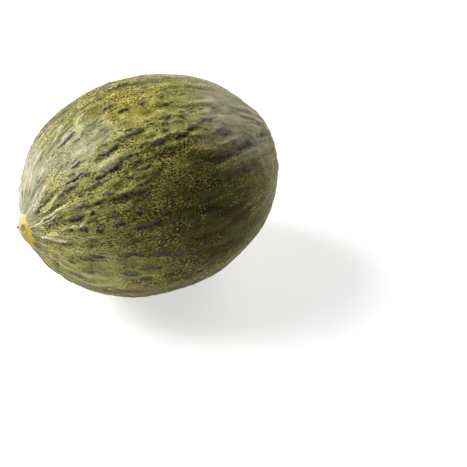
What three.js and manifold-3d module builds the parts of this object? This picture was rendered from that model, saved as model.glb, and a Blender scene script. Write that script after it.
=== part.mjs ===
// A whole Santa Claus melon lying on its side, as one closed solid.
// Units are millimetres, +Z is up.
// X runs along the fruit: the knob with its stem scar is at -X, its blossom scar is at +X.
// The origin is on the surface that the fruit lies on, below the middle of its box.

import * as THREE from 'three';
import { mergeVertices } from 'three/addons/utils/BufferGeometryUtils.js';
import Module from 'manifold-3d';

// Driving dimensions
const BODY_LENGTH = 195.6; // of the rounded body, without the rises at its two scars
const GIRTH_DIAMETER = 160; // across the middle, from crest to crest of the ribs
const STEM_KNOB = { height: 4.6, radius: 18, aside: -2.5 }; // aside is along Y, away from the long axis
const BLOSSOM_KNOB = { height: 0.8, radius: 7, aside: 0 };
const KNOB_SOFTNESS = 1.5; // 1 ends the knob in a crease, larger values fade it into the body
const RIB_COUNT = 10;
const RIB_DEPTH = 0.9; // from a rib's crest down to the groove beside it
const REST_FLAT_DEPTH = 2.2; // how much the underside is flattened where the fruit lay as it grew

// Fineness of the faceted surface
const STEPS_ALONG = 44;
const STEPS_PER_RIB = 7;

const BODY_HALF_LENGTH = BODY_LENGTH / 2;
const BODY_RADIUS = GIRTH_DIAMETER / 2;

const RIND = new THREE.MeshStandardMaterial({ color: 0x77722f, roughness: 0.55, metalness: 0 });

// Half of the rounded body's outline, from the stem end to the blossom end.
// In each point x is the distance from the long axis and y is the place along it.
function outline() {
  const points = [];
  for (let i = 0; i <= STEPS_ALONG; i += 1) {
    const turn = (Math.PI * i) / STEPS_ALONG;
    const isPole = i === 0 || i === STEPS_ALONG;
    const distance = isPole ? 0 : BODY_RADIUS * Math.sin(turn);
    points.push(new THREE.Vector2(distance, -BODY_HALF_LENGTH * Math.cos(turn)));
  }
  return points;
}

// How far a knob stands out of the rounded body at a place across the long axis.
function rise(knob, y, z) {
  const distance = Math.hypot(y - knob.aside, z);
  const closeness = Math.max(0, 1 - (distance / knob.radius) ** 2);
  return knob.height * closeness ** KNOB_SOFTNESS;
}

// How much of its distance from the long axis a point keeps between the ribs.
// The grooves run from pole to pole and fade out at both ends.
function grooveScale(y, z) {
  const angleFromTop = Math.atan2(y, z);
  const grooveShare = (1 - Math.cos(RIB_COUNT * angleFromTop)) / 2;
  const fade = (Math.hypot(y, z) / BODY_RADIUS) ** 2;
  return 1 - (RIB_DEPTH * grooveShare * fade) / BODY_RADIUS;
}

// Raises the two knobs and presses the grooves into a rounded body whose long axis is X.
function growKnobsAndRibs(geometry) {
  const position = geometry.getAttribute('position');
  for (let i = 0; i < position.count; i += 1) {
    const [x, y, z] = [position.getX(i), position.getY(i), position.getZ(i)];
    const raised = x < 0 ? x - rise(STEM_KNOB, y, z) : x + rise(BLOSSOM_KNOB, y, z);
    const scale = grooveScale(y, z);
    position.setXYZ(i, raised, y * scale, z * scale);
  }
}

// The fruit before its underside is flattened, with its long axis on X.
function grownBody() {
  const geometry = new THREE.LatheGeometry(outline(), RIB_COUNT * STEPS_PER_RIB);
  geometry.rotateZ(-Math.PI / 2);
  growKnobsAndRibs(geometry);
  return geometry;
}

// A block whose top is the surface that the fruit lies on.
function groundBlock() {
  const geometry = new THREE.BoxGeometry(BODY_LENGTH, GIRTH_DIAMETER, GIRTH_DIAMETER);
  geometry.translate(0, 0, REST_FLAT_DEPTH - 2 * BODY_RADIUS);
  return geometry;
}

const wasm = await Module();
wasm.setup();

// A triangle that closes a pole of a lathe has two corners in one place, and is left out.
function withoutThinTriangles(indices) {
  const kept = [];
  for (let i = 0; i < indices.length; i += 3) {
    const [a, b, c] = [indices[i], indices[i + 1], indices[i + 2]];
    if (a !== b && b !== c && c !== a) kept.push(a, b, c);
  }
  return new Uint32Array(kept);
}

function toSolid(geometry) {
  const bare = geometry.clone();
  bare.deleteAttribute('normal');
  bare.deleteAttribute('uv');
  const merged = mergeVertices(bare);
  const vertProperties = new Float32Array(merged.getAttribute('position').array);
  const triVerts = withoutThinTriangles(merged.getIndex().array);
  return new wasm.Manifold(new wasm.Mesh({ numProp: 3, vertProperties, triVerts }));
}

function toGeometry(solid) {
  const mesh = solid.getMesh();
  const geometry = new THREE.BufferGeometry();
  geometry.setAttribute('position', new THREE.BufferAttribute(mesh.vertProperties, 3));
  geometry.setIndex(new THREE.BufferAttribute(mesh.triVerts, 1));
  geometry.computeVertexNormals();
  return geometry;
}

// The one sub-part: the fruit on the flat of its underside, with its box centred on the origin.
function melon() {
  const geometry = toGeometry(toSolid(grownBody()).subtract(toSolid(groundBlock())));
  geometry.computeBoundingBox();
  const middle = geometry.boundingBox.getCenter(new THREE.Vector3());
  geometry.translate(-middle.x, -middle.y, -geometry.boundingBox.min.z);
  const mesh = new THREE.Mesh(geometry, RIND);
  mesh.name = 'melon';
  return mesh;
}

const part = new THREE.Group();
part.add(melon());

export default part;
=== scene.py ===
"""A whole Santa Claus melon lying on its side.

Lengths are in metres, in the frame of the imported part: X runs along the fruit from its stem scar at -X
to its blossom scar at +X, and the fruit lies on z = 0. A place on the rind is given by two angles in
degrees. "along" goes from the stem pole (0) to the blossom pole (180). "around" goes from the top (0)
over the front (90) and the underside (180) to the back (270).
"""

import math
from collections import namedtuple
from functools import reduce

import bmesh
import bpy
import numpy as np
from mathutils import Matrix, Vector
from mathutils.kdtree import KDTree


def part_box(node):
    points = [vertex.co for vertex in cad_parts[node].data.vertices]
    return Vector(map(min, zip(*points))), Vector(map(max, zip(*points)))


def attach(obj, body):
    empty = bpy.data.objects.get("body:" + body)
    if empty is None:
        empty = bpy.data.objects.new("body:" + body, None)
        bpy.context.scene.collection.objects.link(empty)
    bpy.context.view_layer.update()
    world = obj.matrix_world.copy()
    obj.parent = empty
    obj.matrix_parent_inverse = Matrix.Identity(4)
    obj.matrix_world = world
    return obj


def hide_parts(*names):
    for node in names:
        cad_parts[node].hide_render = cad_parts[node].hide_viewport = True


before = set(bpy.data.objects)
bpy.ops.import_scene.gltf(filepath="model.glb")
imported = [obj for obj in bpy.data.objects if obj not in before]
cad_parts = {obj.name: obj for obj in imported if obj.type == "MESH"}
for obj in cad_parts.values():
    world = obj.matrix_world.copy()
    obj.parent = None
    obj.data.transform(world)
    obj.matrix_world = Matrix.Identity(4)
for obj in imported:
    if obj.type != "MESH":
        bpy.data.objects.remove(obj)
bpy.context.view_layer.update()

MM = 0.001
SEED = 7

# --- the fruit's form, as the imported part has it

Knob = namedtuple("Knob", "height radius aside")  # aside is along Y, away from the long axis
STEM_KNOB = Knob(height=4.6 * MM, radius=18 * MM, aside=-2.5 * MM)
BLOSSOM_KNOB = Knob(height=0.8 * MM, radius=7 * MM, aside=0)
KNOB_SOFTNESS = 1.5
RIB_COUNT = 10
RIB_DEPTH = 0.9 * MM
REST_FLAT_DEPTH = 2.2 * MM

# Where the stem came off, its last stub and the middle of the yellow disc round both, along Y and
# upwards from the long axis
SCAR_PLACE = (-6.9 * MM, 5.4 * MM)
STUB_PLACE = (0.1 * MM, 2.5 * MM)
DISC_PLACE = (-2.6 * MM, -0.5 * MM)

LOW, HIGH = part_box("melon")
RADIUS = (HIGH.z - LOW.z + REST_FLAT_DEPTH) / 2
HALF_LENGTH = (HIGH.x - LOW.x - STEM_KNOB.height - BLOSSOM_KNOB.height) / 2
CENTRE = np.array([LOW.x + STEM_KNOB.height + HALF_LENGTH, 0, RADIUS - REST_FLAT_DEPTH])

# --- marks on the rind

# A streak: its middle in degrees, its size in millimetres, and how dark it is
Streak = namedtuple("Streak", "around along length width strength", defaults=[1])

# The dark streaks that show best
MAIN_STREAKS = [Streak(*numbers) for numbers in [
    # Top
    (-12, 67, 13, 3, 0.7), (-6, 64, 4, 3, 0.6), (-4, 57, 6, 4, 0.4), (-6, 54, 5, 2.5, 0.6),
    (-3, 51, 5, 3, 0.6), (-2, 47, 7, 3, 0.6), (-1, 43, 6, 3, 0.5), (5, 44, 3.5, 3.5, 0.8),
    (4, 51, 15, 4), (6, 64, 9, 3, 0.6), (2, 72, 9, 3.5), (8, 58, 4, 4, 0.4), (-10, 73, 8, 3),
    (-11, 85, 30, 3), (-7, 97, 5, 3, 0.8), (-10, 107, 24, 2, 0.8), (-2, 91, 4, 3, 0.8),
    (2, 88, 3, 3, 0.7), (4, 97, 4, 3, 0.8), (8, 94, 4, 3, 0.8), (7, 108, 20, 3, 0.6), (9, 77, 7, 4),
    (9, 85, 7, 3), (15, 85, 6, 3, 0.4), (17, 96, 7, 2.5),
    # Upper front
    (20, 112, 9, 2.5, 0.8), (21, 75, 5, 3, 0.7), (24, 76, 11, 3.3), (22, 91, 7, 4),
    (23, 95, 10, 3, 0.6), (25, 88, 5, 3, 0.9), (28, 87, 4, 2.5, 0.7), (24, 50, 7, 3),
    (28, 46, 5, 3, 0.6), (31, 47, 12, 3.5), (32, 52, 4, 3), (27, 64, 15, 4), (28, 58, 4, 3, 0.6),
    (29, 80, 9, 2, 0.5), (32, 76, 4, 3), (31, 87, 5, 4, 0.7), (31, 98, 14, 5, 1.2), (29, 102, 8, 4),
    (28, 106, 15, 5, 1.3), (31, 130, 30, 5, 0.6), (35, 42, 12, 3), (36, 38, 6, 3), (36, 62, 13, 4.5),
    (34, 69, 7, 3, 0.8), (35, 75, 5, 2, 0.7), (33, 82, 14, 3.5), (33, 92, 8, 5, 1.2),
    (37, 111, 14, 5.5, 1.3), (38, 57, 7, 3), (41, 54, 8, 3), (41, 51, 6, 2, 0.6), (42, 71, 7, 2.5, 0.7),
    (42, 74, 7, 3), (44, 110, 14, 4, 0.5),
    # Middle of the front
    (45, 62, 6, 2, 0.5), (48, 57, 7, 2.5), (50, 44, 9, 2.5), (51, 52, 9, 3), (52, 63, 17, 3),
    (48, 75, 8, 3, 0.8), (49, 70, 8, 4, 0.7), (48, 95, 12, 4, 0.6), (54, 70, 7, 4, 0.8),
    (45, 101, 8, 4, 0.7), (49, 108, 24, 5), (47, 122, 32, 6, 1.2), (52, 32, 3, 1.5, 0.7),
    (56, 40, 13, 5), (57, 25, 3, 2.5), (57, 33, 4, 2.5, 0.7), (56, 48, 4, 3), (58, 56, 3, 3, 0.7),
    (61, 57, 5, 3), (62, 66, 4, 4), (60, 117, 12, 5, 0.7), (65, 36, 3, 3), (65, 42, 5, 4),
    (67, 49, 4, 3.5), (66, 58, 8, 3), (67, 76, 6, 3.5), (66, 95, 16, 6, 0.6), (70, 69, 20, 4),
    (71, 78, 8, 4, 0.8), (74, 43, 3, 3, 0.7), (74, 46, 3, 3, 0.7), (73, 60, 4, 2, 0.6),
    # Lower front
    (75, 87, 8, 4, 0.6), (77, 32, 8, 2, 0.6), (78, 44, 4, 2, 0.8), (78, 62, 7, 3.5),
    (80, 82, 5, 4, 0.7), (86, 45, 8, 3.5), (86, 60, 12, 3.5), (90, 40, 10, 3), (88, 71, 16, 4),
    (91, 79, 7, 4), (93, 86, 9, 4), (97, 67, 16, 4, 0.8), (95, 59, 7, 3, 0.5), (101, 59, 12, 5),
    (102, 41, 11, 6, 0.7), (103, 49, 7, 5, 0.5), (107, 66, 6, 3, 0.8), (104, 90, 8, 3.5),
    (113, 46, 6, 3, 0.6), (115, 36, 10, 4), (122, 53, 9, 6, 0.8),
]]

Fold = namedtuple("Fold", "width rise places")  # in millimetres; the places are (around, along)

# The lengthwise crests and grooves that show best. A groove has a rise below 0.
MAIN_FOLDS = [
    # Round the stem
    Fold(7, 0.3, [(31, 13), (26, 25), (21, 38)]), Fold(4.5, -1.0, [(38, 15), (35, 25), (33, 35)]),
    Fold(3, 0.5, [(42, 20), (40, 29), (36, 36)]), Fold(4, -0.6, [(46, 18), (43, 30), (42, 55)]),
    Fold(3, 0.4, [(51, 18), (47, 31), (44, 40)]), Fold(4, 0.5, [(62, 30), (62, 45)]),
    Fold(4, -0.4, [(58, 28), (60, 50), (60, 66)]), Fold(3, -0.5, [(52, 36), (52, 53)]),
    Fold(3.5, 0.4, [(69, 22), (70, 40), (67, 66)]), Fold(4, 0.3, [(75, 18), (75, 35), (74, 76)]),
    Fold(4, -0.4, [(80, 20), (79, 40), (77, 70)]), Fold(5, 0.3, [(84, 24), (84, 44), (86, 62)]),
    Fold(4, -0.5, [(96, 22), (94, 34), (92, 50)]), Fold(3, 0.5, [(102, 20), (108, 31), (111, 48)]),
    Fold(4, -0.6, [(112, 22), (117, 34), (117, 46)]), Fold(4, 0.4, [(122, 22), (124, 40), (118, 60)]),
    Fold(4, -0.4, [(11, 14), (12, 26)]), Fold(4, -0.3, [(18, 16), (16, 29)]),
    Fold(4, 0.4, [(-8, 24), (-8, 44)]),
    # In the middle
    Fold(3.5, 0.4, [(34, 56), (33, 69)]), Fold(3, -0.5, [(29, 60), (28, 69)]),
    Fold(3, -0.5, [(39, 59), (38, 67)]), Fold(3.5, 0.6, [(31, 74), (30, 89)]),
    Fold(3, -0.6, [(35, 77), (35, 96)]), Fold(4, 0.8, [(50, 54), (50, 72)]),
    Fold(4, -1.0, [(54, 55), (53, 74)]), Fold(4, 0.6, [(46, 66), (45, 80)]),
    Fold(4, -0.6, [(42, 68), (41, 95)]), Fold(5, -0.9, [(-10, 72), (-11, 80), (-10, 96)]),
    Fold(6, 0.6, [(-17, 66), (-16, 84), (-15, 108)]), Fold(4, 0.3, [(-5, 60), (-5, 80)]),
    Fold(4, -0.4, [(25, 71), (24, 80)]),
    # Towards the blossom
    Fold(4, -0.6, [(-9, 100), (-10, 116)]), Fold(4, 0.5, [(1, 96), (1, 110), (3, 126)]),
    Fold(4, -0.6, [(5, 100), (6, 110), (8, 122)]), Fold(4, 0.4, [(19, 86), (17, 112)]),
    Fold(5, -0.4, [(26, 98), (24, 118)]), Fold(4, 1.0, [(27, 128), (28, 136), (30, 148)]),
    Fold(6, -0.6, [(30, 120), (31, 130), (34, 142)]), Fold(4, 0.6, [(36, 95), (36, 106)]),
    Fold(4, -0.5, [(38, 104), (37, 120)]), Fold(5, 0.7, [(43, 94), (44, 104), (44, 114), (42, 130)]),
    Fold(6, -1.1, [(47, 93), (49, 104), (49, 112), (48, 120), (44, 140)]),
    Fold(5, 0.9, [(54, 96), (54, 112), (52, 130)]), Fold(6, -0.8, [(61, 100), (60, 114), (59, 126)]),
    Fold(5, 0.5, [(67, 96), (66, 116)]),
]

# Broad stretches where the fruit is fuller or flatter than its smooth form, as folds
BROAD_DENTS = [
    Fold(36, -1.3, [(-18, 88), (-18, 114)]), Fold(44, -1.4, [(2, 124), (8, 150)]),
    Fold(50, 1.3, [(38, 146), (38, 160)]), Fold(36, -1.2, [(-24, 8), (-24, 30)]),
    Fold(30, -0.8, [(128, 44), (130, 70)]), Fold(30, 1.1, [(138, 10), (140, 28)]),
]

CorkLine = namedtuple("CorkLine", "width places")  # in millimetres; the places are (around, along)

# The corky lines that show best. They fan out from the stem scar.
MAIN_CORK_LINES = [
    CorkLine(0.8, [(55, 13), (51, 20), (49, 23), (48, 28), (46, 32), (45, 36), (44, 40)]),
    CorkLine(0.5, [(54, 20), (52, 27), (49, 32)]),
    CorkLine(0.8, [(76, 16), (73, 21), (73, 24), (75, 27), (75, 34)]),
    CorkLine(0.6, [(69, 22), (69, 30), (71, 34), (70, 38), (73, 41)]),
    CorkLine(0.4, [(72, 43), (71, 48)]), CorkLine(0.5, [(64, 31), (63, 34)]),
    CorkLine(0.5, [(63, 36), (62, 39)]), CorkLine(0.5, [(63, 41), (61, 43)]),
    CorkLine(0.6, [(101, 21), (105, 27), (108, 31), (109, 36), (112, 45)]),
    CorkLine(0.4, [(92, 22), (96, 32)]), CorkLine(0.4, [(84, 31), (84, 35)]),
    CorkLine(0.4, [(83, 36), (84, 41)]), CorkLine(0.4, [(83, 43), (86, 49), (87, 53)]),
    CorkLine(0.9, [(33, 12), (29, 18), (25, 25)]),
    CorkLine(0.6, [(25, 24), (22, 32), (21, 37), (19, 41)]),
    CorkLine(0.6, [(35, 13), (31, 19), (28, 24), (25, 31)]),
    CorkLine(0.5, [(42, 24), (41, 29), (37, 33), (35, 36)]),
    CorkLine(0.4, [(21, 14), (18, 22), (17, 29)]), CorkLine(0.4, [(17, 37), (17, 41)]),
    CorkLine(0.4, [(9, 31), (9, 37)]), CorkLine(0.4, [(8, 41), (7, 45)]),
    CorkLine(0.8, [(-4, 20), (-6, 28), (-8, 33), (-9, 38), (-6, 44)]),
    CorkLine(0.5, [(-2, 58), (-4, 65)]), CorkLine(0.5, [(-3, 46), (-5, 52)]),
]

# A patch: its middle and size in the same units, and how strong it is
Patch = namedtuple("Patch", "around along length width strength", defaults=[1])

# Patches where the skin differs, by what they change
PATCHES = {
    # A smooth, pale layer of wax, and painted sheen: the pale patches on the top near the stem and
    # towards the blossom end paint the sheen of light on the rind
    "wax_and_sheen": [
        (-4, 30, 60, 60, 0.3), (40, 118, 80, 60, 0.7), (30, 145, 80, 90, 0.8), (-10, 50, 60, 70, 0.35),
        (12, 95, 34, 18, -0.4), (14, 59, 46, 34), (20, 52, 30, 12), (24, 40, 60, 50, 0.35),
        (0, 52, 24, 8), (-18, 24, 60, 60, 1.4), (33, 62, 28, 5), (20, 118, 50, 46), (46, 124, 50, 24),
        (58, 112, 30, 10), (-14, 120, 60, 24), (106, 44, 40, 18, 0.4), (-80, 60, 60, 36),
        (150, 80, 50, 30), (-110, 80, 170, 170, 0.4), (-130, 112, 60, 34), (170, 130, 50, 30),
        (-150, 50, 40, 30), (100, 140, 60, 40),
    ],
    # Where the pale smooth skin is grey instead of green: painted sheen of light grazing the stem-side
    # edge
    "grey_sheen": [(-14, 24, 60, 60, 1.1)],
    # Where the streaks have a paler painted sheen on their upper side, on the parts that face the light
    "streak_sheen": [
        (15, 48, 90, 70), (-8, 84, 60, 24, 0.6), (34, 60, 50, 20, 0.3), (40, 110, 70, 50, 0.35),
        (104, 46, 60, 36, 0.5),
    ],
    # Skin that has turned yellow
    "gold": [
        (3, 84, 66, 36), (-3, 97, 36, 18, 0.9), (16, 92, 40, 16), (-6, 74, 40, 20),
        (46, 42, 30, 8, 0.5), (46, 70, 40, 8, 0.5), (112, 56, 40, 16, 0.4), (-100, 80, 200, 180, -0.5),
        (160, 60, 40, 20, 0.5), (-60, 110, 40, 16, 0.7), (140, 110, 40, 16, 0.6),
    ],
    # Lighter skin, or darker where the strength is below 0: mostly the skin's own tone, with some
    # painted light and shade, as marked below
    "light": [
        # Top. The first patch, at the stem-side edge, is painted light: a paler edge where light grazes
        # the rind
        (-20, 21, 40, 46, 0.17), (10, 36, 34, 16, 0.06), (-26, 70, 100, 30, -0.26),
        (-10, 94, 90, 26, -0.38), (0, 108, 40, 18, -0.14), (0, 72, 60, 22, -0.28), (1, 57, 40, 20, 0.3),
        (10, 60, 34, 22, -0.22), (5, 56, 44, 20, 0.16), (12, 98, 40, 14, 0.18), (17, 74, 44, 20, 0.18),
        (-8, 92, 40, 14, -0.1),
        # Upper front
        (22, 52, 56, 20, 0.12), (25, 97, 48, 20, 0.36), (30, 87, 40, 16, 0.58), (29, 63, 34, 14, 0.04),
        (30, 110, 80, 48, 0.34), (29, 106, 36, 14, 0.26), (42, 120, 60, 44, 0.66),
        (44, 94, 60, 30, 0.1), (36, 142, 60, 50, 0.16), (35, 50, 60, 24, 0.4), (28, 28, 26, 14, 0.24),
        (32, 76, 70, 56, 0.14),
        # Middle of the front. The darker patches past along 80 are painted shade on the lower front
        # towards the blossom end
        (47, 46, 54, 26, 0.37), (50, 65, 36, 14, 0.34), (55, 52, 50, 20, 0.5), (60, 62, 24, 10, -0.36),
        (68, 58, 30, 14, 0.26), (58, 23, 40, 16, -0.26), (64, 44, 50, 22, 0.2), (56, 94, 44, 22, -0.12),
        (64, 99, 50, 30, -0.2), (70, 84, 64, 44, -0.26), (68, 114, 60, 20, -0.15),
        # Lower front. The lighter patches at along 34 to 54 are painted light, as from the floor under
        # the stem half, and the darker ones past along 70 are painted shade
        (78, 34, 70, 34, 0.2), (80, 50, 60, 20, 0.2), (86, 98, 76, 60, -0.5), (100, 42, 90, 50, 0.55),
        (98, 54, 70, 30, 0.26), (98, 88, 50, 18, 0.22), (108, 90, 70, 44, -0.24),
        (112, 74, 70, 24, -0.1), (114, 98, 40, 16, -0.1), (118, 42, 50, 22, 0.95),
        # Back and underside. The first, broad darker patch is painted shade that holds the back down
        # where the key light falls strongly on it
        (-100, 74, 160, 180, -0.26), (-150, 80, 120, 70, -0.08), (-100, 110, 70, 30, 0.12),
        (-70, 40, 60, 20, 0.12), (150, 60, 50, 40, 0.08), (-140, 60, 50, 24, 0.12),
    ],
    # Skin with stronger flecks, or fainter ones where the strength is below 0
    "speckled": [
        (58, 44, 110, 66, 0.5), (8, 76, 130, 62, -0.4), (76, 30, 50, 60, 0.2), (84, 94, 90, 70, -0.3),
        (10, 30, 60, 70, 0.2), (44, 74, 50, 34, 0.15), (20, 122, 90, 120, -0.55),
        (-14, 22, 60, 56, -0.6), (80, 110, 60, 60, -0.3), (98, 94, 90, 50, -0.35),
        (-100, 75, 200, 200, -0.8), (-140, 130, 90, 90, -0.4), (120, 130, 90, 90, -0.4),
    ],
}

# A streak's upper edge is the one towards this around. The streak's colour paints a highlight at that
# edge and shade at the other, as if lit from there.
TOP_AROUND = -20

# Where the listed marks are. Elsewhere the marks are drawn at random.
LISTED_AROUND = (-20, 125)
LISTED_ALONG = (14, 125)

# Where the listed folds take over from the random ones and give way again
FOLDS_RISE_AROUND = (-40, -15)
FOLDS_FALL_AROUND = (85, 130)
FOLDS_FALL_ALONG = (120, 140)

# How many random marks are tried
STREAK_ROWS = 30
LONG_STREAKS = 300
SHORT_STREAKS = 1000
CORK_LINE_SPACING = 12  # in degrees
SHORT_CORK_LINES = 60


def wrapped(angle):
    """An angle in degrees, brought between -180 and 180."""
    return (np.asarray(angle) + 180) % 360 - 180


def on_ellipsoid(along, around, half_length, radius):
    """Points of an ellipsoid of that size round the origin."""
    a, r = np.radians(along), np.radians(around)
    across = radius * np.sin(a)
    return np.stack([-half_length * np.cos(a), -across * np.sin(r), across * np.cos(r)], -1)


def body_point(along, around):
    """Points of the smooth body, without knobs, ribs or flat."""
    return CENTRE + on_ellipsoid(along, around, HALF_LENGTH, RADIUS)


def body_normal(along, around):
    """Outward directions of the smooth body, of length 1."""
    normal = on_ellipsoid(along, around, RADIUS, HALF_LENGTH)
    return normal / np.linalg.norm(normal, axis=-1, keepdims=True)


def metres_per_degree(along):
    """How long one degree of along is on the body, and one degree of around."""
    a = np.radians(along)
    lengthwise = np.hypot(HALF_LENGTH * np.sin(a), RADIUS * np.cos(a))
    return np.radians(lengthwise), np.radians(RADIUS * np.sin(a))


def is_listed(along, around):
    """Whether a place is where the listed marks are."""
    inside_around = LISTED_AROUND[0] < wrapped(around) < LISTED_AROUND[1]
    return inside_around and LISTED_ALONG[0] < along < LISTED_ALONG[1]


def random_along(rng):
    """An along that spreads places evenly over the rind, apart from the two ends."""
    return np.degrees(np.arccos(rng.uniform(-0.96, 0.96)))


def scattered_streaks(rng):
    """Random streaks: long ones where none are listed, and short ones everywhere."""
    found = []
    rows = rng.uniform(-180, 180, STREAK_ROWS)
    for _ in range(LONG_STREAKS):
        along = random_along(rng)
        around = rng.choice(rows) + rng.normal(0, 2)
        if is_listed(along, around):
            continue
        length = np.clip(rng.lognormal(2.1, 0.5), 4, 30)
        found.append(Streak(around, along, length, rng.uniform(2.2, 4.8), rng.uniform(0.6, 1.2)))
    for _ in range(SHORT_STREAKS):
        along = random_along(rng)
        width = rng.uniform(0.7, 1.6)
        around = rng.uniform(-180, 180)
        length = width * rng.uniform(1.6, 4)
        found.append(Streak(around, along, length, width, rng.uniform(0.3, 1)))
    return found


def scattered_cork_lines(rng):
    """Random corky lines: long ones where none are listed, and short ones everywhere."""
    found = []
    for around in np.arange(-180, 180, CORK_LINE_SPACING):
        start = rng.uniform(11, 24)
        if is_listed(start + 6, around):
            continue
        stops = np.arange(start, start + rng.uniform(8, 34), 4)
        drift = np.cumsum(rng.normal(0, 1, len(stops))) + rng.uniform(-4, 4)
        found.append(CorkLine(rng.uniform(0.3, 0.75), list(zip(around + drift, stops))))
    for _ in range(SHORT_CORK_LINES):
        along = 16 + 60 * rng.uniform() ** 1.5
        around = rng.uniform(-180, 180)
        reach = rng.uniform(1.5, 4)
        places = [(around, along), (around + rng.normal(0, 1.5), along + reach)]
        found.append(CorkLine(rng.uniform(0.1, 0.3), places))
    return found


# --- smooth shapes of relief

# Random relief: the distance between crests, a usual height, and a share that draws it out
# lengthwise, by ten times if it is 0.1
Ripple = namedtuple("Ripple", "wavelength height lengthwise", defaults=[1])
BROAD_FOLDS = Ripple(16 * MM, 0.3 * MM, 0.1)
NARROW_FOLDS = Ripple(7 * MM, 0.18 * MM, 0.12)
SHORT_WRINKLES = Ripple(5.5 * MM, 0.2 * MM, 0.35)
BROAD_LUMPS = Ripple(55 * MM, 0.3 * MM)
SMALL_LUMPS = Ripple(16 * MM, 0.06 * MM)

STREAK_HEIGHT = 0.4 * MM
CORK_HEIGHT = 0.25 * MM
SKIN_DEPTH = 0.3 * MM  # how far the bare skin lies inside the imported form, below the marks


def ripples(points, wavelength, rng, waves=24):
    """Smooth random numbers with a spread of 1 at some points: a sum of waves in random directions."""
    total = np.zeros(len(points))
    for _ in range(waves):
        direction = rng.normal(size=3)
        direction *= 2 * np.pi / (np.linalg.norm(direction) * wavelength * rng.uniform(0.7, 1.4))
        total += np.cos(points @ direction + rng.uniform(0, 2 * np.pi))
    return total * math.sqrt(2 / waves)


def rippled(places, ripple, rng):
    """Random relief of one kind, where the last number of the places runs lengthwise."""
    return ripples(places * (1, 1, ripple.lengthwise), ripple.wavelength, rng) * ripple.height


def smooth_step(value, low, high):
    """0 below the low value, 1 above the high one, and a smooth curve between."""
    share = np.clip((value - low) / (high - low), 0, 1)
    return share * share * (3 - 2 * share)


def mound(distance, height, width):
    """A round mound that is highest at distance 0 and has faded out at twice its width."""
    return height * np.exp(-((distance / width) ** 2))


def wave(steps, turn, height, rng):
    """A sine wave over some steps, with a random start."""
    return height * np.sin(steps * turn + rng.uniform(0, 6))


# --- fields of the marks


def streak_field(along, around, streaks):
    """How far inside the nearest streak each place is, on which side of it, and how dark it is.

    The depth is in metres, negative outside. The side, which places the painted highlight and shade, is
    -1 at a streak's upper edge, 1 at its lower.
    """
    depth = np.full(len(along), -6 * MM)
    side = np.zeros(len(along))
    strength = np.zeros(len(along))
    lengthwise, across = metres_per_degree(along)
    for streak in streaks:
        reach_along = (along - streak.along) * lengthwise / (streak.length * MM / 2)
        reach_around = wrapped(around - streak.around) * across / (streak.width * MM / 2)
        this_depth = (1 - np.hypot(reach_along, reach_around)) * streak.width * MM / 2
        nearer = this_depth > depth
        depth[nearer] = this_depth[nearer]
        # The side sets which edge of a streak gets the painted highlight and which the painted shade
        downwards = np.sign(wrapped(streak.around) - TOP_AROUND)
        side[nearer] = np.clip(reach_around[nearer], -1, 1) * downwards
        strength[nearer] = streak.strength
    return depth, side, strength


def fold_relief(along, around, folds):
    """The height of listed folds, in metres."""
    height = np.zeros(len(along))
    _, across = metres_per_degree(along)
    for fold in folds:
        line_around, line_along = np.array(fold.places, float).T
        offset = wrapped(around - np.interp(along, line_along, line_around)) * across
        ends = smooth_step(along, line_along[0] - 3, line_along[0] + 3)
        ends *= 1 - smooth_step(along, line_along[-1] - 3, line_along[-1] + 3)
        height += ends * mound(offset, fold.rise * MM, fold.width * MM / 2)
    return height


def patch_field(along, around, patches):
    """The sum of the patches' strengths at each place. Each falls softly to 0 outwards."""
    total = np.zeros(len(along))
    lengthwise, across = metres_per_degree(along)
    for patch in (Patch(*numbers) for numbers in patches):
        reach_along = (along - patch.along) * lengthwise / (patch.length * MM / 2)
        reach_around = wrapped(around - patch.around) * across / (patch.width * MM / 2)
        total += patch.strength * (1 - smooth_step(np.hypot(reach_along, reach_around), 0.3, 1.2))
    return total


def cork_samples(lines, rng):
    """Closely spaced points of all corky lines, each with the line's half width there."""
    points, half_widths = [], []
    for line in lines:
        around, along = np.array(line.places, float).T
        steps = np.arange(along[0], along[-1], 0.2)
        if len(steps) < 3:
            continue
        wander = sum(wave(steps, turn, rng.normal(0, 0.1), rng) for turn in (0.7, 1.5, 3.1))
        path = np.interp(steps, along, around) + wander / np.sin(np.radians(steps))
        ragged = 1 + wave(steps, 2.3, 0.3, rng) + wave(steps, 4.7, 0.25, rng)
        share = (steps - steps[0]) / np.ptp(steps)
        taper = np.clip(6 * np.minimum(share + 0.06, 1.03 - share), 0.1, 1)
        points.append(body_point(steps, path))
        half_widths.append(line.width * MM / 2 * ragged * taper)
    return np.concatenate(points), np.concatenate(half_widths)


class NearestLine:
    """Finds how far places on the body are from the corky lines."""

    def __init__(self, points, half_widths):
        self.half_widths = half_widths
        self.tree = KDTree(len(points))
        for i, point in enumerate(points):
            self.tree.insert(point, i)
        self.tree.balance()

    def gaps(self, places):
        """Each place's distance from the edge of the nearest line, in metres, negative inside."""
        found = [self.tree.find(place) for place in places]
        distance = np.array([gap for _, _, gap in found])
        return distance - self.half_widths[[i for _, i, _ in found]]


# --- the rind's mesh

SPHERE_SUBDIVISIONS = 7

# The triangles are divided again this near to a corky line, to a streak and, in degrees, to the stem
Division = namedtuple("Division", "cork streak stem")
DIVISIONS = [Division(1.8 * MM, 0.6 * MM, 26), Division(0.9 * MM, None, 13)]

BLOSSOM_RING_RADIUS = 3.4 * MM
BAKE_FILL = 0.96  # how much of its share of the map a side of the cube fills


def directions_of(mesh):
    """The unit vector of each vertex of a mesh round the origin."""
    found = np.array([vertex.co for vertex in mesh.verts])
    return found / np.linalg.norm(found, axis=1, keepdims=True)


def angles_of(directions):
    """The along and around of each direction."""
    x, y, z = directions.T
    return np.degrees(np.arccos(np.clip(-x, -1, 1))), np.degrees(np.arctan2(-y, z))


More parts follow.
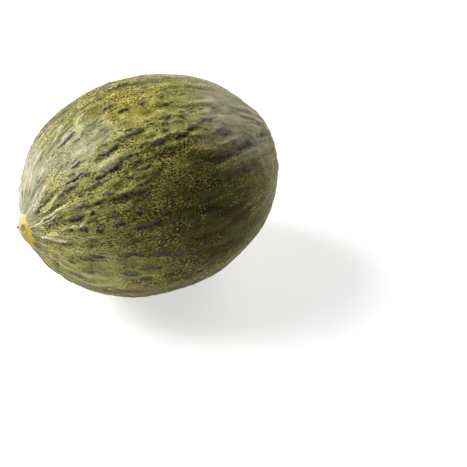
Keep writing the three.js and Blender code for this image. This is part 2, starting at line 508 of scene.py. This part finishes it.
def divide(mesh, wanted):
    """Divides each triangle edge whose two ends are wanted."""
    edges = [edge for edge in mesh.edges if wanted[edge.verts[0].index] and wanted[edge.verts[1].index]]
    bmesh.ops.subdivide_edges(mesh, edges=edges, cuts=1, use_grid_fill=True)
    bmesh.ops.triangulate(mesh, faces=[face for face in mesh.faces if len(face.verts) > 3])
    mesh.verts.index_update()


def sphere_of_triangles(cork, streaks):
    """A sphere with small triangles, which are finer on the marks and round the stem scar."""
    mesh = bmesh.new()
    bmesh.ops.create_icosphere(mesh, subdivisions=SPHERE_SUBDIVISIONS, radius=1)
    for near in DIVISIONS:
        along, around = angles_of(directions_of(mesh))
        wanted = (along < near.stem) | (cork.gaps(body_point(along, around)) < near.cork)
        if near.streak is not None:
            wanted |= streak_field(along, around, streaks)[0] > -near.streak
        divide(mesh, wanted)
    return mesh


def knob_rise(knob, points):
    """How far a knob stands out of the body at some points."""
    distance = np.hypot(points[:, 1] - knob.aside, points[:, 2] - CENTRE[2])
    return knob.height * np.clip(1 - (distance / knob.radius) ** 2, 0, None) ** KNOB_SOFTNESS


def grown_form(along, around):
    """The body with its knobs and ribs."""
    points = body_point(along, around)
    stem, blossom = knob_rise(STEM_KNOB, points), knob_rise(BLOSSOM_KNOB, points)
    points[:, 0] += np.where(along < 90, -stem, blossom)
    across = np.sin(np.radians(along))
    groove = (1 - np.cos(RIB_COUNT * np.radians(around))) / 2
    points[:, 1:] -= CENTRE[1:]
    points[:, 1:] *= (1 - RIB_DEPTH * groove * across**2 / RADIUS)[:, None]
    points[:, 1:] += CENTRE[1:]
    return points


def skin_places(along, around):
    """Places for patterns of the skin. The last number runs lengthwise, and the others go round."""
    r = np.radians(around)
    lengthwise = (RADIUS + HALF_LENGTH) / 2 * np.radians(along)
    return np.stack([RADIUS * np.cos(r), RADIUS * np.sin(r), lengthwise], -1)


def end_distance(points, end, aside=0, lift=0):
    """How far points are, across the long axis, from a place at one end. It is 1 m in the other half.

    The end is -1 for the stem and 1 for the blossom.
    """
    distance = np.hypot(points[:, 1] - aside, points[:, 2] - CENTRE[2] - lift)
    return np.where(end * (points[:, 0] - CENTRE[0]) > 0, distance, 1)


def wrinkles(along, around, rng):
    """Lengthwise folds of the skin, in metres: the listed ones, and random ones elsewhere."""
    skin = skin_places(along, around)
    across = np.sin(np.radians(along))
    broad = rippled(skin, BROAD_FOLDS, rng)
    narrow = rippled(skin, NARROW_FOLDS, rng)
    short = rippled(skin, SHORT_WRINKLES, rng)
    leathery = smooth_step(ripples(skin * (1, 1, 0.5), 34 * MM, rng), -1, 0.8)

    # The folds are smoother towards the blossom end
    lively = 1 - 0.6 * smooth_step(along, 96, 120)
    wander = lively * ripples(skin * (1, 1, 0.5), 14 * MM, rng)
    uneven = 1.1 + 0.4 * lively * ripples(skin, 11 * MM, rng)
    main = uneven * fold_relief(along, around + wander, MAIN_FOLDS)

    listed = smooth_step(around, *FOLDS_RISE_AROUND)
    listed *= 1 - smooth_step(around, *FOLDS_FALL_AROUND)
    listed *= 1 - smooth_step(along, *FOLDS_FALL_ALONG)
    random = across**0.8 * (broad + narrow) * (1 - 0.6 * listed)
    return main + random + across * short * leathery * lively


def dents(along, around, points, rng):
    """Broad uneven places of the whole body, in metres: random ones and the listed ones."""
    random = rippled(points, BROAD_LUMPS, rng) + rippled(points, SMALL_LUMPS, rng)
    return random + fold_relief(along, around, BROAD_DENTS)


def stem_scar(from_scar, from_stub, around, rng):
    """The sunken disc where the stem came off, its corky rim and the stub beside it."""
    edge = from_scar + ripples(around[:, None] * (1, 0, 0), 60, rng) * 0.25 * MM
    disc = -0.45 * MM * (1 - smooth_step(edge, 1.9 * MM, 2.8 * MM))
    rim = mound(edge - 3.2 * MM, 0.3 * MM, 0.7 * MM)
    return disc + rim + mound(from_stub, 1.6 * MM, 0.9 * MM)


def blossom_scar(distance):
    """The low ring of the blossom scar and the pit in its middle."""
    ring = mound(distance - BLOSSOM_RING_RADIUS, 0.3 * MM, 0.8 * MM)
    return ring - mound(distance, 0.4 * MM, 1.6 * MM)


def laid_on_floor(points, softness=0.4 * MM):
    """The points with the underside pressed to a soft-edged flat on z = 0."""
    height = points[:, 2]
    points[:, 2] = (height + np.sqrt(height**2 + softness**2)) / 2
    return points


def set_attribute(mesh, name, values):
    """Stores a number or a vector for each vertex."""
    kind, field = ("FLOAT_VECTOR", "vector") if values.ndim == 2 else ("FLOAT", "value")
    attribute = mesh.attributes.new(name, kind, "POINT")
    attribute.data.foreach_set(field, values.astype(np.float32).ravel())


def add_bake_map(mesh, directions):
    """Lays the surface out as the six sides of a cube, three by two, in a map named OFBake."""
    corner = np.empty(len(mesh.loops), np.int32)
    mesh.loops.foreach_get("vertex_index", corner)
    at = directions[corner].reshape(-1, 3, 3)
    middle = at.mean(1)
    axis = np.abs(middle).argmax(1)
    rows = np.arange(len(at))
    sign = np.sign(middle[rows, axis])
    depth = at[rows, :, axis]
    first = np.arctan(at[rows, :, (axis + 1) % 3] / depth) / (np.pi / 4)
    second = np.arctan(at[rows, :, (axis + 2) % 3] / np.abs(depth)) / (np.pi / 4)
    u = (axis[:, None] + 0.5 + first * BAKE_FILL / 2) / 3
    v = ((sign[:, None] + 1) / 2 + 0.5 + second * BAKE_FILL / 2) / 2
    layer = mesh.uv_layers.new(name="OFBake")
    layer.uv.foreach_set("vector", np.stack([u, v], -1).astype(np.float32).ravel())


def rind_piece(sphere, points, directions, fields):
    """The rind's object: the sphere's triangles, brought to the finished points."""
    mesh = bpy.data.meshes.new("melon_rind")
    sphere.to_mesh(mesh)
    sphere.free()
    mesh.vertices.foreach_set("co", points.astype(np.float32).ravel())
    add_bake_map(mesh, directions)
    for name, values in fields.items():
        set_attribute(mesh, name, values)
    mesh.shade_smooth()
    mesh.update()
    piece = bpy.data.objects.new("melon_rind", mesh)
    bpy.context.scene.collection.objects.link(piece)
    return piece


def rind():
    """The whole visible rind as one closed mesh with the attributes that its material reads."""
    rng = np.random.default_rng(SEED)
    streaks = MAIN_STREAKS + scattered_streaks(rng)
    cork = NearestLine(*cork_samples(MAIN_CORK_LINES + scattered_cork_lines(rng), rng))
    sphere = sphere_of_triangles(cork, streaks)

    directions = directions_of(sphere)
    along, around = angles_of(directions)
    bare = body_point(along, around)
    sway = ripples(bare, 9 * MM, rng) * 0.5
    depth, side, strength = streak_field(along + sway * 0.4, around + sway * 0.6, streaks)
    depth += ripples(bare * (0.5, 1, 1), 3 * MM, rng) * 0.3 * MM
    cork_gap = cork.gaps(bare)

    points = grown_form(along, around)
    from_stem = end_distance(points, -1, *DISC_PLACE)
    from_scar = end_distance(points, -1, *SCAR_PLACE)
    from_stub = end_distance(points, -1, *STUB_PLACE)
    from_blossom = end_distance(points, 1)

    folds = wrinkles(along, around, rng)
    relief = folds + dents(along, around, bare, rng) - SKIN_DEPTH
    streak_rise = STREAK_HEIGHT * (1 - 0.7 * smooth_step(along, 95, 115))
    relief += streak_rise * smooth_step(depth, -1.1 * MM, 1.1 * MM)
    relief += CORK_HEIGHT * smooth_step(-cork_gap, -0.3 * MM, 0.4 * MM)
    relief *= smooth_step(from_stem, 2 * MM, 10 * MM)
    relief += stem_scar(from_scar, from_stub, around, rng) + blossom_scar(from_blossom)
    points = laid_on_floor(points + body_normal(along, around) * relief[:, None])

    # The material's lengths are in millimetres
    fields = {
        "along": along,
        "skin": skin_places(along, around),
        "fold": folds / MM,
        "streak_depth": depth / MM,
        "streak_side": side,
        "streak_strength": strength,
        "cork_gap": cork_gap / MM,
        "stem_distance": from_stem / MM,
        "scar_distance": from_scar / MM,
        "stub_distance": from_stub / MM,
        "blossom_distance": from_blossom / MM,
    }
    for name, patches in PATCHES.items():
        fields[name] = patch_field(along + 3 * sway, around + 5 * sway, patches)
    return rind_piece(sphere, points, directions, fields)


# --- materials


def srgb(red, green, blue):
    """A screen colour of 0 to 255, in the linear numbers that a shader takes."""
    shares = [c / 255 for c in (red, green, blue)]
    return [c / 12.92 if c <= 0.04045 else ((c + 0.055) / 1.055) ** 2.4 for c in shares] + [1]


def tones(*colours):
    """The skin's colours in one kind of place, from its darkest flecks to its lightest."""
    return [srgb(*colour) for colour in colours]


# How light the skin is at each colour of a list of tones
TONE_STOPS = (0.0, 0.3, 0.5, 0.7, 1.0)
GREEN_TONES = tones((38, 32, 4), (95, 83, 28), (138, 124, 56), (176, 162, 83), (222, 210, 130))
LEAF_TONES = tones((33, 32, 6), (86, 84, 28), (126, 124, 54), (163, 161, 80), (213, 212, 134))
GOLD_TONES = tones((60, 50, 8), (114, 102, 26), (153, 140, 52), (184, 172, 78), (218, 211, 134))
SAGE_TONES = tones((83, 79, 50), (122, 117, 84), (156, 151, 114), (187, 182, 146), (228, 224, 198))
TAUPE_TONES = tones((90, 78, 50), (127, 113, 79), (158, 143, 106), (188, 173, 135), (226, 216, 186))
# Pale grey tones that paint the sheen of light grazing the stem-side edge
GREY_SHEEN_TONES = tones((84, 80, 64), (120, 116, 98), (152, 148, 128), (182, 179, 158), (224, 222, 206))

PALE_DOT = srgb(234, 228, 160)
LIME = srgb(132, 142, 56)
# A streak's colours paint light and shade: the mauve, and the paler grey-mauve, as a highlight on its
# upper side; the brown and the edge colour as shade on its lower side. The edge colour also colours dark
# grains, and the brown the blossom scar's spot.
STREAK_EDGE = srgb(38, 30, 6)
STREAK_BROWN = srgb(42, 35, 22)
STREAK_SHEEN = srgb(158, 149, 142)
STREAK_MAUVE = srgb(114, 103, 94)
CORK = srgb(240, 230, 194)
DISC_YELLOW = srgb(200, 182, 74)

# The stains on the yellow disc, in the order they are laid on, in millimetres from the long axis
Stain = namedtuple("Stain", "aside lift radius share colour")
STEM_STAINS = [
    Stain(-1, 12, 8, 0.85, srgb(208, 204, 146)),
    Stain(-12.5, 5, 5, 0.8, srgb(212, 184, 62)),
    Stain(-8.4, 10.4, 3.4, 0.8, srgb(232, 180, 84)),
    Stain(-6, -3, 4.5, 0.8, srgb(180, 165, 130)),
    Stain(-2, 0, 4, 0.7, srgb(190, 190, 148)),
    Stain(-13, -5, 4, 0.6, srgb(196, 178, 68)),
]
STUB = srgb(110, 72, 62)
BLOSSOM_BROWN = srgb(126, 106, 70)


class Nodes:
    """Makes and joins the nodes of one material or world."""

    def __init__(self, owner):
        owner.use_nodes = True
        self.owner = owner
        self.tree = owner.node_tree
        self.tree.nodes.clear()

    def make(self, kind, inputs=None, **settings):
        node = self.tree.nodes.new("ShaderNode" + kind)
        for name, value in settings.items():
            setattr(node, name, value)
        for name, value in (inputs or {}).items():
            self.plug(node.inputs[name], value)
        return node

    def plug(self, socket, value):
        if isinstance(value, bpy.types.NodeSocket):
            self.tree.links.new(value, socket)
        else:
            socket.default_value = value

    def attribute(self, name, output="Fac"):
        return self.make("Attribute", attribute_name=name).outputs[output]

    def math(self, operation, first, second=0.0):
        return self.make("Math", {0: first, 1: second}, operation=operation).outputs[0]

    def total(self, *values):
        return reduce(lambda a, b: self.math("ADD", a, b), values)

    def product(self, *values):
        return reduce(lambda a, b: self.math("MULTIPLY", a, b), values)

    def less(self, share, value):
        """1 where the value is 0, and lower by the share where the value is 1."""
        return self.math("SUBTRACT", 1.0, self.product(value, share))

    def scaled(self, place, factors):
        return self.make("VectorMath", {0: place, 1: factors}, operation="MULTIPLY").outputs[0]

    def drawn_out(self, skin, share):
        """The skin's places for a pattern drawn out lengthwise. A low share draws it out far."""
        return self.scaled(skin, (1, 1, share))

    def noise(self, place, size, detail=2.0, roughness=0.5):
        """Smooth noise from 0 to 1 with features of that size in metres."""
        inputs = {"Vector": place, "Scale": 1 / size, "Detail": detail, "Roughness": roughness}
        return self.make("TexNoise", inputs).outputs["Fac"]

    def swing(self, place, size, amount, detail=2.0, roughness=0.5):
        """Smooth noise round 0, mostly within a quarter of the amount."""
        noise = self.noise(place, size, detail, roughness)
        return self.product(self.math("SUBTRACT", noise, 0.5), amount)

    def dots(self, place, size, radius, empty):
        """Soft round dots in random cells of that size: 0 between them, up to 1 in their middles.

        The radius is a share of the size. The share empty of the cells has no dot.
        """
        cells = self.make("TexVoronoi", {"Vector": place, "Scale": 1 / size}).outputs
        chosen = self.step(self.make("SeparateColor", {0: cells["Color"]}).outputs[0], empty, 1.0)
        return self.product(chosen, self.step(cells["Distance"], radius * 1.5, radius * 0.3))

    def step(self, value, low, high):
        """0 at the low value, 1 at the high one. Where high is below low it falls instead."""
        inputs = {"Value": value, "From Min": low, "From Max": high}
        return self.make("MapRange", inputs, interpolation_type="SMOOTHSTEP").outputs["Result"]

    def mix(self, share, below, above):
        node = self.make("Mix", data_type="RGBA")
        self.plug(node.inputs["Factor"], share)
        self.plug(node.inputs[6], below)
        self.plug(node.inputs[7], above)
        return node.outputs[2]

    def toned(self, tone, colours):
        """The colour for how light the skin is, from a list of tones."""
        node = self.make("ValToRGB", {"Fac": tone})
        elements = node.color_ramp.elements
        while len(elements) < len(TONE_STOPS):
            elements.new(0.5)
        for element, stop, colour in zip(elements, TONE_STOPS, colours):
            element.position = stop
            element.color = colour
        return node.outputs["Color"]


def flecks(nodes, place, skin, calm):
    """Fine light and dark flecks round 0. They are fainter where the skin is calm."""
    strength = nodes.math("SUBTRACT", nodes.attribute("speckled"), nodes.product(calm, 0.6))
    strength = nodes.total(strength, nodes.swing(place, 9 * MM, 1.6), 1.15)
    strength = nodes.math("MINIMUM", nodes.math("MAXIMUM", strength, 0.25), 1.6)

    # Mirrored places give each kind its own pattern from the same noise
    grain = nodes.drawn_out(skin, 0.55)
    bright = nodes.step(nodes.noise(nodes.scaled(grain, (-1, 1, 1)), 0.85 * MM, 1.0), 0.55, 0.67)
    specks = nodes.dots(nodes.scaled(grain, (1, -1, 1)), 1.8 * MM, 0.22, 0.1)
    balance = -0.23  # because the bright flecks and the specks only lighten
    both_ways = nodes.total(
        nodes.swing(grain, 0.7 * MM, 3.6, 1.0),
        nodes.product(bright, 0.85),
        nodes.product(specks, 1.5),
        balance,
        nodes.swing(nodes.drawn_out(skin, 0.4), 2.6 * MM, 0.5, 3.0),
        nodes.swing(nodes.drawn_out(skin, 0.3), 6 * MM, 0.5),
    )
    return nodes.product(both_ways, strength)


def fibres(nodes, skin):
    """Fine lengthwise fibres round 0, round the stem end. The painted grey sheen at the stem-side edge
    hides them.
    """
    long_ones = nodes.swing(nodes.drawn_out(skin, 0.07), 5 * MM, 1.6)
    short_ones = nodes.swing(nodes.drawn_out(skin, 0.2), 2.2 * MM, 1.6)
    near_stem = nodes.step(nodes.attribute("along"), 54, 14)
    unsheened = nodes.step(nodes.attribute("grey_sheen"), 1.2, 0.0)
    return nodes.product(nodes.total(long_ones, short_ones), near_stem, unsheened)


def skin_tone(nodes, place, skin, calm):
    """How light the skin is, from 0 to 1: flecks, fibres, bands, patches, and painted light and shade on
    folds.
    """
    bands = nodes.swing(nodes.drawn_out(skin, 0.16), 7 * MM, 0.7, 3.0)
    bands = nodes.product(bands, nodes.step(calm, 1.4, 0.2))
    # Painted light and shade: the tops of folds are made lighter and their grooves darker
    fold_shading = nodes.product(nodes.math("MINIMUM", nodes.attribute("fold"), 0.6), 0.4)
    tone = nodes.total(
        0.54,
        flecks(nodes, place, skin, calm),
        bands,
        nodes.swing(place, 26 * MM, 0.4, 3.0),
        fold_shading,
        fibres(nodes, skin),
        nodes.attribute("light"),
    )
    # The darkest places keep some of their variation
    return nodes.math("MAXIMUM", tone, nodes.total(nodes.product(tone, 0.3), 0.08))


def skin_colour(nodes, place, skin, far):
    """The bare skin in its green, golden, and pale smooth places of wax and painted sheen, how light it
    is, and where it is calm.
    """
    wax_and_sheen = nodes.total(nodes.attribute("wax_and_sheen"), nodes.swing(place, 12 * MM, 1.2, 4.0))
    wax_and_sheen = nodes.step(wax_and_sheen, 0.1, 1.0)
    gold = nodes.total(nodes.attribute("gold"), nodes.swing(place, 14 * MM, 1.0, 3.0))
    gold = nodes.step(gold, 0.1, 0.9)
    calm = nodes.math("MAXIMUM", wax_and_sheen, nodes.step(nodes.noise(place, 16 * MM), 0.5, 0.66))
    tone = skin_tone(nodes, place, skin, calm)

    leafy = nodes.step(nodes.noise(nodes.scaled(place, (0.5, 1, 1)), 8 * MM, 3.0), 0.52, 0.74)
    leafy = nodes.product(leafy, nodes.step(tone, 0.1, 0.6))
    colour = nodes.mix(leafy, nodes.toned(tone, GREEN_TONES), nodes.toned(tone, LEAF_TONES))
    colour = nodes.mix(nodes.product(gold, 0.9), colour, nodes.toned(tone, GOLD_TONES))
    # The pale, smooth skin: partly wax, partly painted sheen of light on the rind; grey at the stem-side
    # edge, where it is painted sheen only
    smooth = nodes.mix(far, nodes.toned(tone, SAGE_TONES), nodes.toned(tone, TAUPE_TONES))
    grey_sheen = nodes.step(nodes.attribute("grey_sheen"), 0.0, 0.8)
    smooth = nodes.mix(grey_sheen, smooth, nodes.toned(tone, GREY_SHEEN_TONES))
    return nodes.mix(nodes.product(wax_and_sheen, 0.85), colour, smooth), tone, calm


def dotted(nodes, place, far, calm, colour):
    """The colour with pale dots over it, where the skin isn't calm."""
    open_skin = nodes.product(nodes.step(calm, 1.0, 0.2), nodes.step(far, 0.9, 0.1))
    pale = nodes.dots(nodes.scaled(place, (0.6, 1, 1)), 3.4 * MM, 0.14, 0.4)
    return nodes.mix(nodes.product(pale, 0.6, open_skin), colour, PALE_DOT)


def streaked(nodes, place, far, colour):
    """The colour with the dark streaks over it, and 1 in their middles.

    A streak is a real dark mark, but its colour paints light and shade: mauve above as a highlight,
    paler where the streak sheen patches are, and brown below, where its edge is darkest, as shade. Dark
    grains lie in and round it, more of them on the shaded side. At the far end it is blurred.
    """
    ragged = nodes.swing(nodes.scaled(place, (0.5, 1, 1)), 1.8 * MM, 3.0, 4.0, 0.6)
    depth = nodes.product(nodes.total(nodes.attribute("streak_depth"), ragged), nodes.less(0.4, far))
    lower = nodes.total(nodes.attribute("streak_side"), nodes.swing(place, 3 * MM, 2.4))
    shown = nodes.product(nodes.attribute("streak_strength"), nodes.less(0.35, far))

    colour = nodes.mix(nodes.product(nodes.step(depth, -3.0, -0.6), 0.35), colour, LIME)
    middle = nodes.step(depth, -0.7, 0.9)
    # Painted highlight on a streak's upper side: mauve, paler where the sheen patches are; painted shade
    # on its lower side: brown
    dusky = nodes.mix(nodes.attribute("streak_sheen"), STREAK_MAUVE, STREAK_SHEEN)
    dusky = nodes.mix(nodes.step(lower, -0.3, 0.7), dusky, STREAK_BROWN)
    colour = nodes.mix(nodes.product(middle, shown, 0.95), colour, dusky)
    # Painted shade: a dark edge on a streak's lower side
    shade = nodes.product(nodes.step(depth, -1.3, 0.0), nodes.step(lower, 0.1, 0.8))
    colour = nodes.mix(nodes.product(shade, shown, 0.55), colour, STREAK_EDGE)

    grains = nodes.step(nodes.noise(nodes.scaled(place, (0.6, 1, 1)), 1.3 * MM, 1.0), 0.46, 0.6)
    edge = nodes.product(nodes.step(depth, -1.5, -0.1), nodes.step(depth, 1.6, 0.4))
    # Painted shade: the dark grains are thicker on a streak's lower side
    mostly_below = nodes.total(0.35, nodes.product(nodes.step(lower, -0.9, 0.3), 0.65))
    grains = nodes.product(grains, edge, mostly_below, shown, 0.9)
    return nodes.mix(grains, colour, STREAK_EDGE), middle


def corky(nodes, place, colour):
    """The colour with the pale corky lines over it, and 1 on them."""
    ragged = nodes.swing(place, 1.3 * MM, 1.5, 3.0, 0.6)
    gap = nodes.total(nodes.attribute("cork_gap"), ragged)
    colour = nodes.mix(nodes.product(nodes.step(gap, 1.2, 0.0), 0.15), colour, CORK)
    line = nodes.step(gap, 0.2, -0.1)
    return nodes.mix(nodes.product(line, 0.95), colour, CORK), line


def stained(nodes, place, ragged, colour):
    """The colour with the stains of the yellow disc over it."""
    across = nodes.scaled(place, (0, 1, 1))
    for stain in STEM_STAINS:
        middle = (0, stain.aside * MM, CENTRE[2] + stain.lift * MM)
        metres = nodes.make("VectorMath", {0: across, 1: middle}, operation="DISTANCE").outputs["Value"]
        distance = nodes.total(nodes.math("DIVIDE", metres, MM), ragged)
        inside = nodes.step(distance, stain.radius * 1.3, stain.radius * 0.6)
        colour = nodes.mix(nodes.product(inside, stain.share), colour, stain.colour)
    return colour


def stem_end(nodes, place, skin, colour):
    """The colour with the sage ring, the stained yellow disc, the scar and its stub over it."""
    ragged = nodes.swing(place, 3 * MM, 4.0)
    from_stem = nodes.attribute("stem_distance")
    rays = nodes.swing(nodes.drawn_out(skin, 0.06), 5 * MM, 2.6, 3.0)
    speckles = nodes.swing(place, 1.2 * MM, 1.6)
    ring_colour = nodes.toned(nodes.total(rays, speckles, 0.38), SAGE_TONES)
    ring = nodes.step(nodes.total(from_stem, ragged, nodes.product(rays, 5.0)), 26, 15)
    colour = nodes.mix(nodes.product(ring, 0.8), colour, ring_colour)

    disc = nodes.step(nodes.total(from_stem, nodes.product(ragged, 1.4)), 13.6, 12.2)
    colour = nodes.mix(disc, colour, stained(nodes, place, ragged, DISC_YELLOW))

    from_scar = nodes.total(nodes.attribute("scar_distance"), nodes.product(ragged, 0.5))
    scar_colour = nodes.toned(nodes.total(nodes.swing(place, 1.4 * MM, 4.0), 0.42), SAGE_TONES)
    colour = nodes.mix(nodes.product(nodes.step(from_scar, 3.3, 2.3), 0.85), colour, scar_colour)
    return nodes.mix(nodes.step(nodes.attribute("stub_distance"), 1.4, 0.8), colour, STUB)


def blossom_end(nodes, place, colour):
    """The colour with the brown ring and spot of the blossom scar over it."""
    distance = nodes.total(nodes.attribute("blossom_distance"), nodes.swing(place, 2 * MM, 3.0))
    around_scar = nodes.product(nodes.step(distance, 16, 4), 0.35)
    colour = nodes.mix(around_scar, colour, nodes.toned(0.6, TAUPE_TONES))
    from_ring = nodes.math("ABSOLUTE", nodes.math("SUBTRACT", distance, BLOSSOM_RING_RADIUS / MM))
    colour = nodes.mix(nodes.product(nodes.step(from_ring, 1.1, 0.3), 0.8), colour, BLOSSOM_BROWN)
    return nodes.mix(nodes.product(nodes.step(distance, 1.6, 0.8), 0.8), colour, STREAK_BROWN)


def rind_material():
    """The whole rind: bare skin, then the marks, then the two ends, with a satin surface."""
    nodes = Nodes(bpy.data.materials.new("rind_skin"))
    place = nodes.make("TexCoord").outputs["Object"]
    skin = nodes.attribute("skin", "Vector")
    far = nodes.step(nodes.attribute("along"), 82, 110)
    colour, tone, calm = skin_colour(nodes, place, skin, far)
    colour = dotted(nodes, place, far, calm, colour)
    colour, streak = streaked(nodes, place, far, colour)
    colour, line = corky(nodes, place, colour)
    colour = blossom_end(nodes, place, stem_end(nodes, place, skin, colour))

    roughness = nodes.math("SUBTRACT", 0.48, nodes.product(streak, 0.1))
    height = nodes.total(nodes.product(tone, 0.5), nodes.product(streak, 0.4), line)
    bump = nodes.make("Bump", {"Height": height, "Strength": 0.7, "Distance": 0.25 * MM}).outputs[0]
    inputs = {"Base Color": colour, "Roughness": roughness, "Normal": bump, "Specular IOR Level": 0.1}
    shader = nodes.make("BsdfPrincipled", inputs)
    nodes.make("OutputMaterial", {"Surface": shader.outputs[0]})
    return nodes.owner


# --- floor, light and camera

# The camera's direction from the fruit in degrees, its distance, and how far from the fruit's
# middle it aims, to the right and down
CAMERA_AZIMUTH = -31.17
CAMERA_ELEVATION = 39.71
CAMERA_DISTANCE = 0.6
CAMERA_LENS = 63.0
AIM_RIGHT = 0.0615
AIM_DOWN = 0.0363

# Square lamps that face the fruit
Softbox = namedtuple("Softbox", "azimuth elevation distance size energy")
SOFTBOXES = {
    "key_light": Softbox(-134, 40, 1.6, 1.1, 43.5),
    "rim_light": Softbox(120, 22, 1.6, 1.0, 12),
}
ROOM_LIGHT = 0.026

# The floor also glows for the camera, so that it is white apart from the shadow. It fades out
# between two distances from the fruit, to the white behind it.
PAPER = 0.8
PAPER_GLOW = 0.64
FLOOR_FADE = (0.35, 0.8)
FLOOR_HALF_WIDTH = 6
FLOOR_DROP = 0.1 * MM


def outward(azimuth, elevation):
    """A direction away from the fruit. Azimuth 0 is in front of it, at -Y, and 90 is at +X."""
    a, e = math.radians(azimuth), math.radians(elevation)
    return Vector((math.sin(a) * math.cos(e), -math.cos(a) * math.cos(e), math.sin(e)))


def put_facing(thing, target, direction, distance):
    """Puts a camera or lamp at that distance from the target, turned to it."""
    thing.location = target + direction * distance
    thing.rotation_mode = "QUATERNION"
    thing.rotation_quaternion = direction.to_track_quat("Z", "Y")
    bpy.context.scene.collection.objects.link(thing)


def add_camera():
    back = outward(CAMERA_AZIMUTH, CAMERA_ELEVATION)
    right = outward(CAMERA_AZIMUTH + 90, 0)
    up = back.cross(right)
    target = (LOW + HIGH) / 2 + right * AIM_RIGHT - up * AIM_DOWN
    camera = bpy.data.objects.new("camera", bpy.data.cameras.new("camera"))
    camera.data.lens = CAMERA_LENS
    put_facing(camera, target, back, CAMERA_DISTANCE)
    bpy.context.scene.camera = camera


def add_softboxes():
    for name, softbox in SOFTBOXES.items():
        lamp = bpy.data.lights.new(name, "AREA")
        lamp.size = softbox.size
        lamp.energy = softbox.energy
        direction = outward(softbox.azimuth, softbox.elevation)
        put_facing(bpy.data.objects.new(name, lamp), (LOW + HIGH) / 2, direction, softbox.distance)


def seen_share(nodes):
    """1 for rays that show the background: those of the camera, and reflected or bent ones."""
    path = nodes.make("LightPath").outputs
    plain = nodes.math("MAXIMUM", path["Is Camera Ray"], path["Is Glossy Ray"])
    return nodes.math("MAXIMUM", plain, path["Is Transmission Ray"])


def add_world():
    """A white background that lights the fruit only faintly."""
    nodes = Nodes(bpy.data.worlds.new("studio"))
    shade = nodes.mix(seen_share(nodes), (ROOM_LIGHT, ROOM_LIGHT, ROOM_LIGHT, 1), (1, 1, 1, 1))
    background = nodes.make("Background", {"Color": shade})
    nodes.make("OutputWorld", {"Surface": background.outputs[0]})
    bpy.context.scene.world = nodes.owner


def floor_material():
    nodes = Nodes(bpy.data.materials.new("floor_paper"))
    seen = seen_share(nodes)
    paper = nodes.make("BsdfDiffuse", {"Color": (PAPER, PAPER, PAPER, 1)})
    glow = nodes.make("Emission", {"Strength": nodes.product(seen, PAPER_GLOW)})
    both = nodes.make("AddShader", {0: paper.outputs[0], 1: glow.outputs[0]})
    place = nodes.make("NewGeometry").outputs["Position"]
    distance = nodes.make("VectorMath", {0: place}, operation="LENGTH").outputs["Value"]
    gone = nodes.product(seen, nodes.step(distance, *FLOOR_FADE))
    nothing = nodes.make("BsdfTransparent")
    surface = nodes.make("MixShader", {0: gone, 1: both.outputs[0], 2: nothing.outputs[0]})
    nodes.make("OutputMaterial", {"Surface": surface.outputs[0]})
    return nodes.owner


def add_floor():
    sheet = bmesh.new()
    bmesh.ops.create_grid(sheet, x_segments=1, y_segments=1, size=FLOOR_HALF_WIDTH)
    mesh = bpy.data.meshes.new("floor")
    sheet.to_mesh(mesh)
    sheet.free()
    mesh.materials.append(floor_material())
    floor = bpy.data.objects.new("floor", mesh)
    floor.location.z = -FLOOR_DROP
    bpy.context.scene.collection.objects.link(floor)


bpy.context.scene.view_settings.view_transform = "Standard"
add_camera()
add_world()
add_floor()
add_softboxes()

melon = rind()
melon.data.materials.append(rind_material())
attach(melon, "root")
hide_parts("melon")
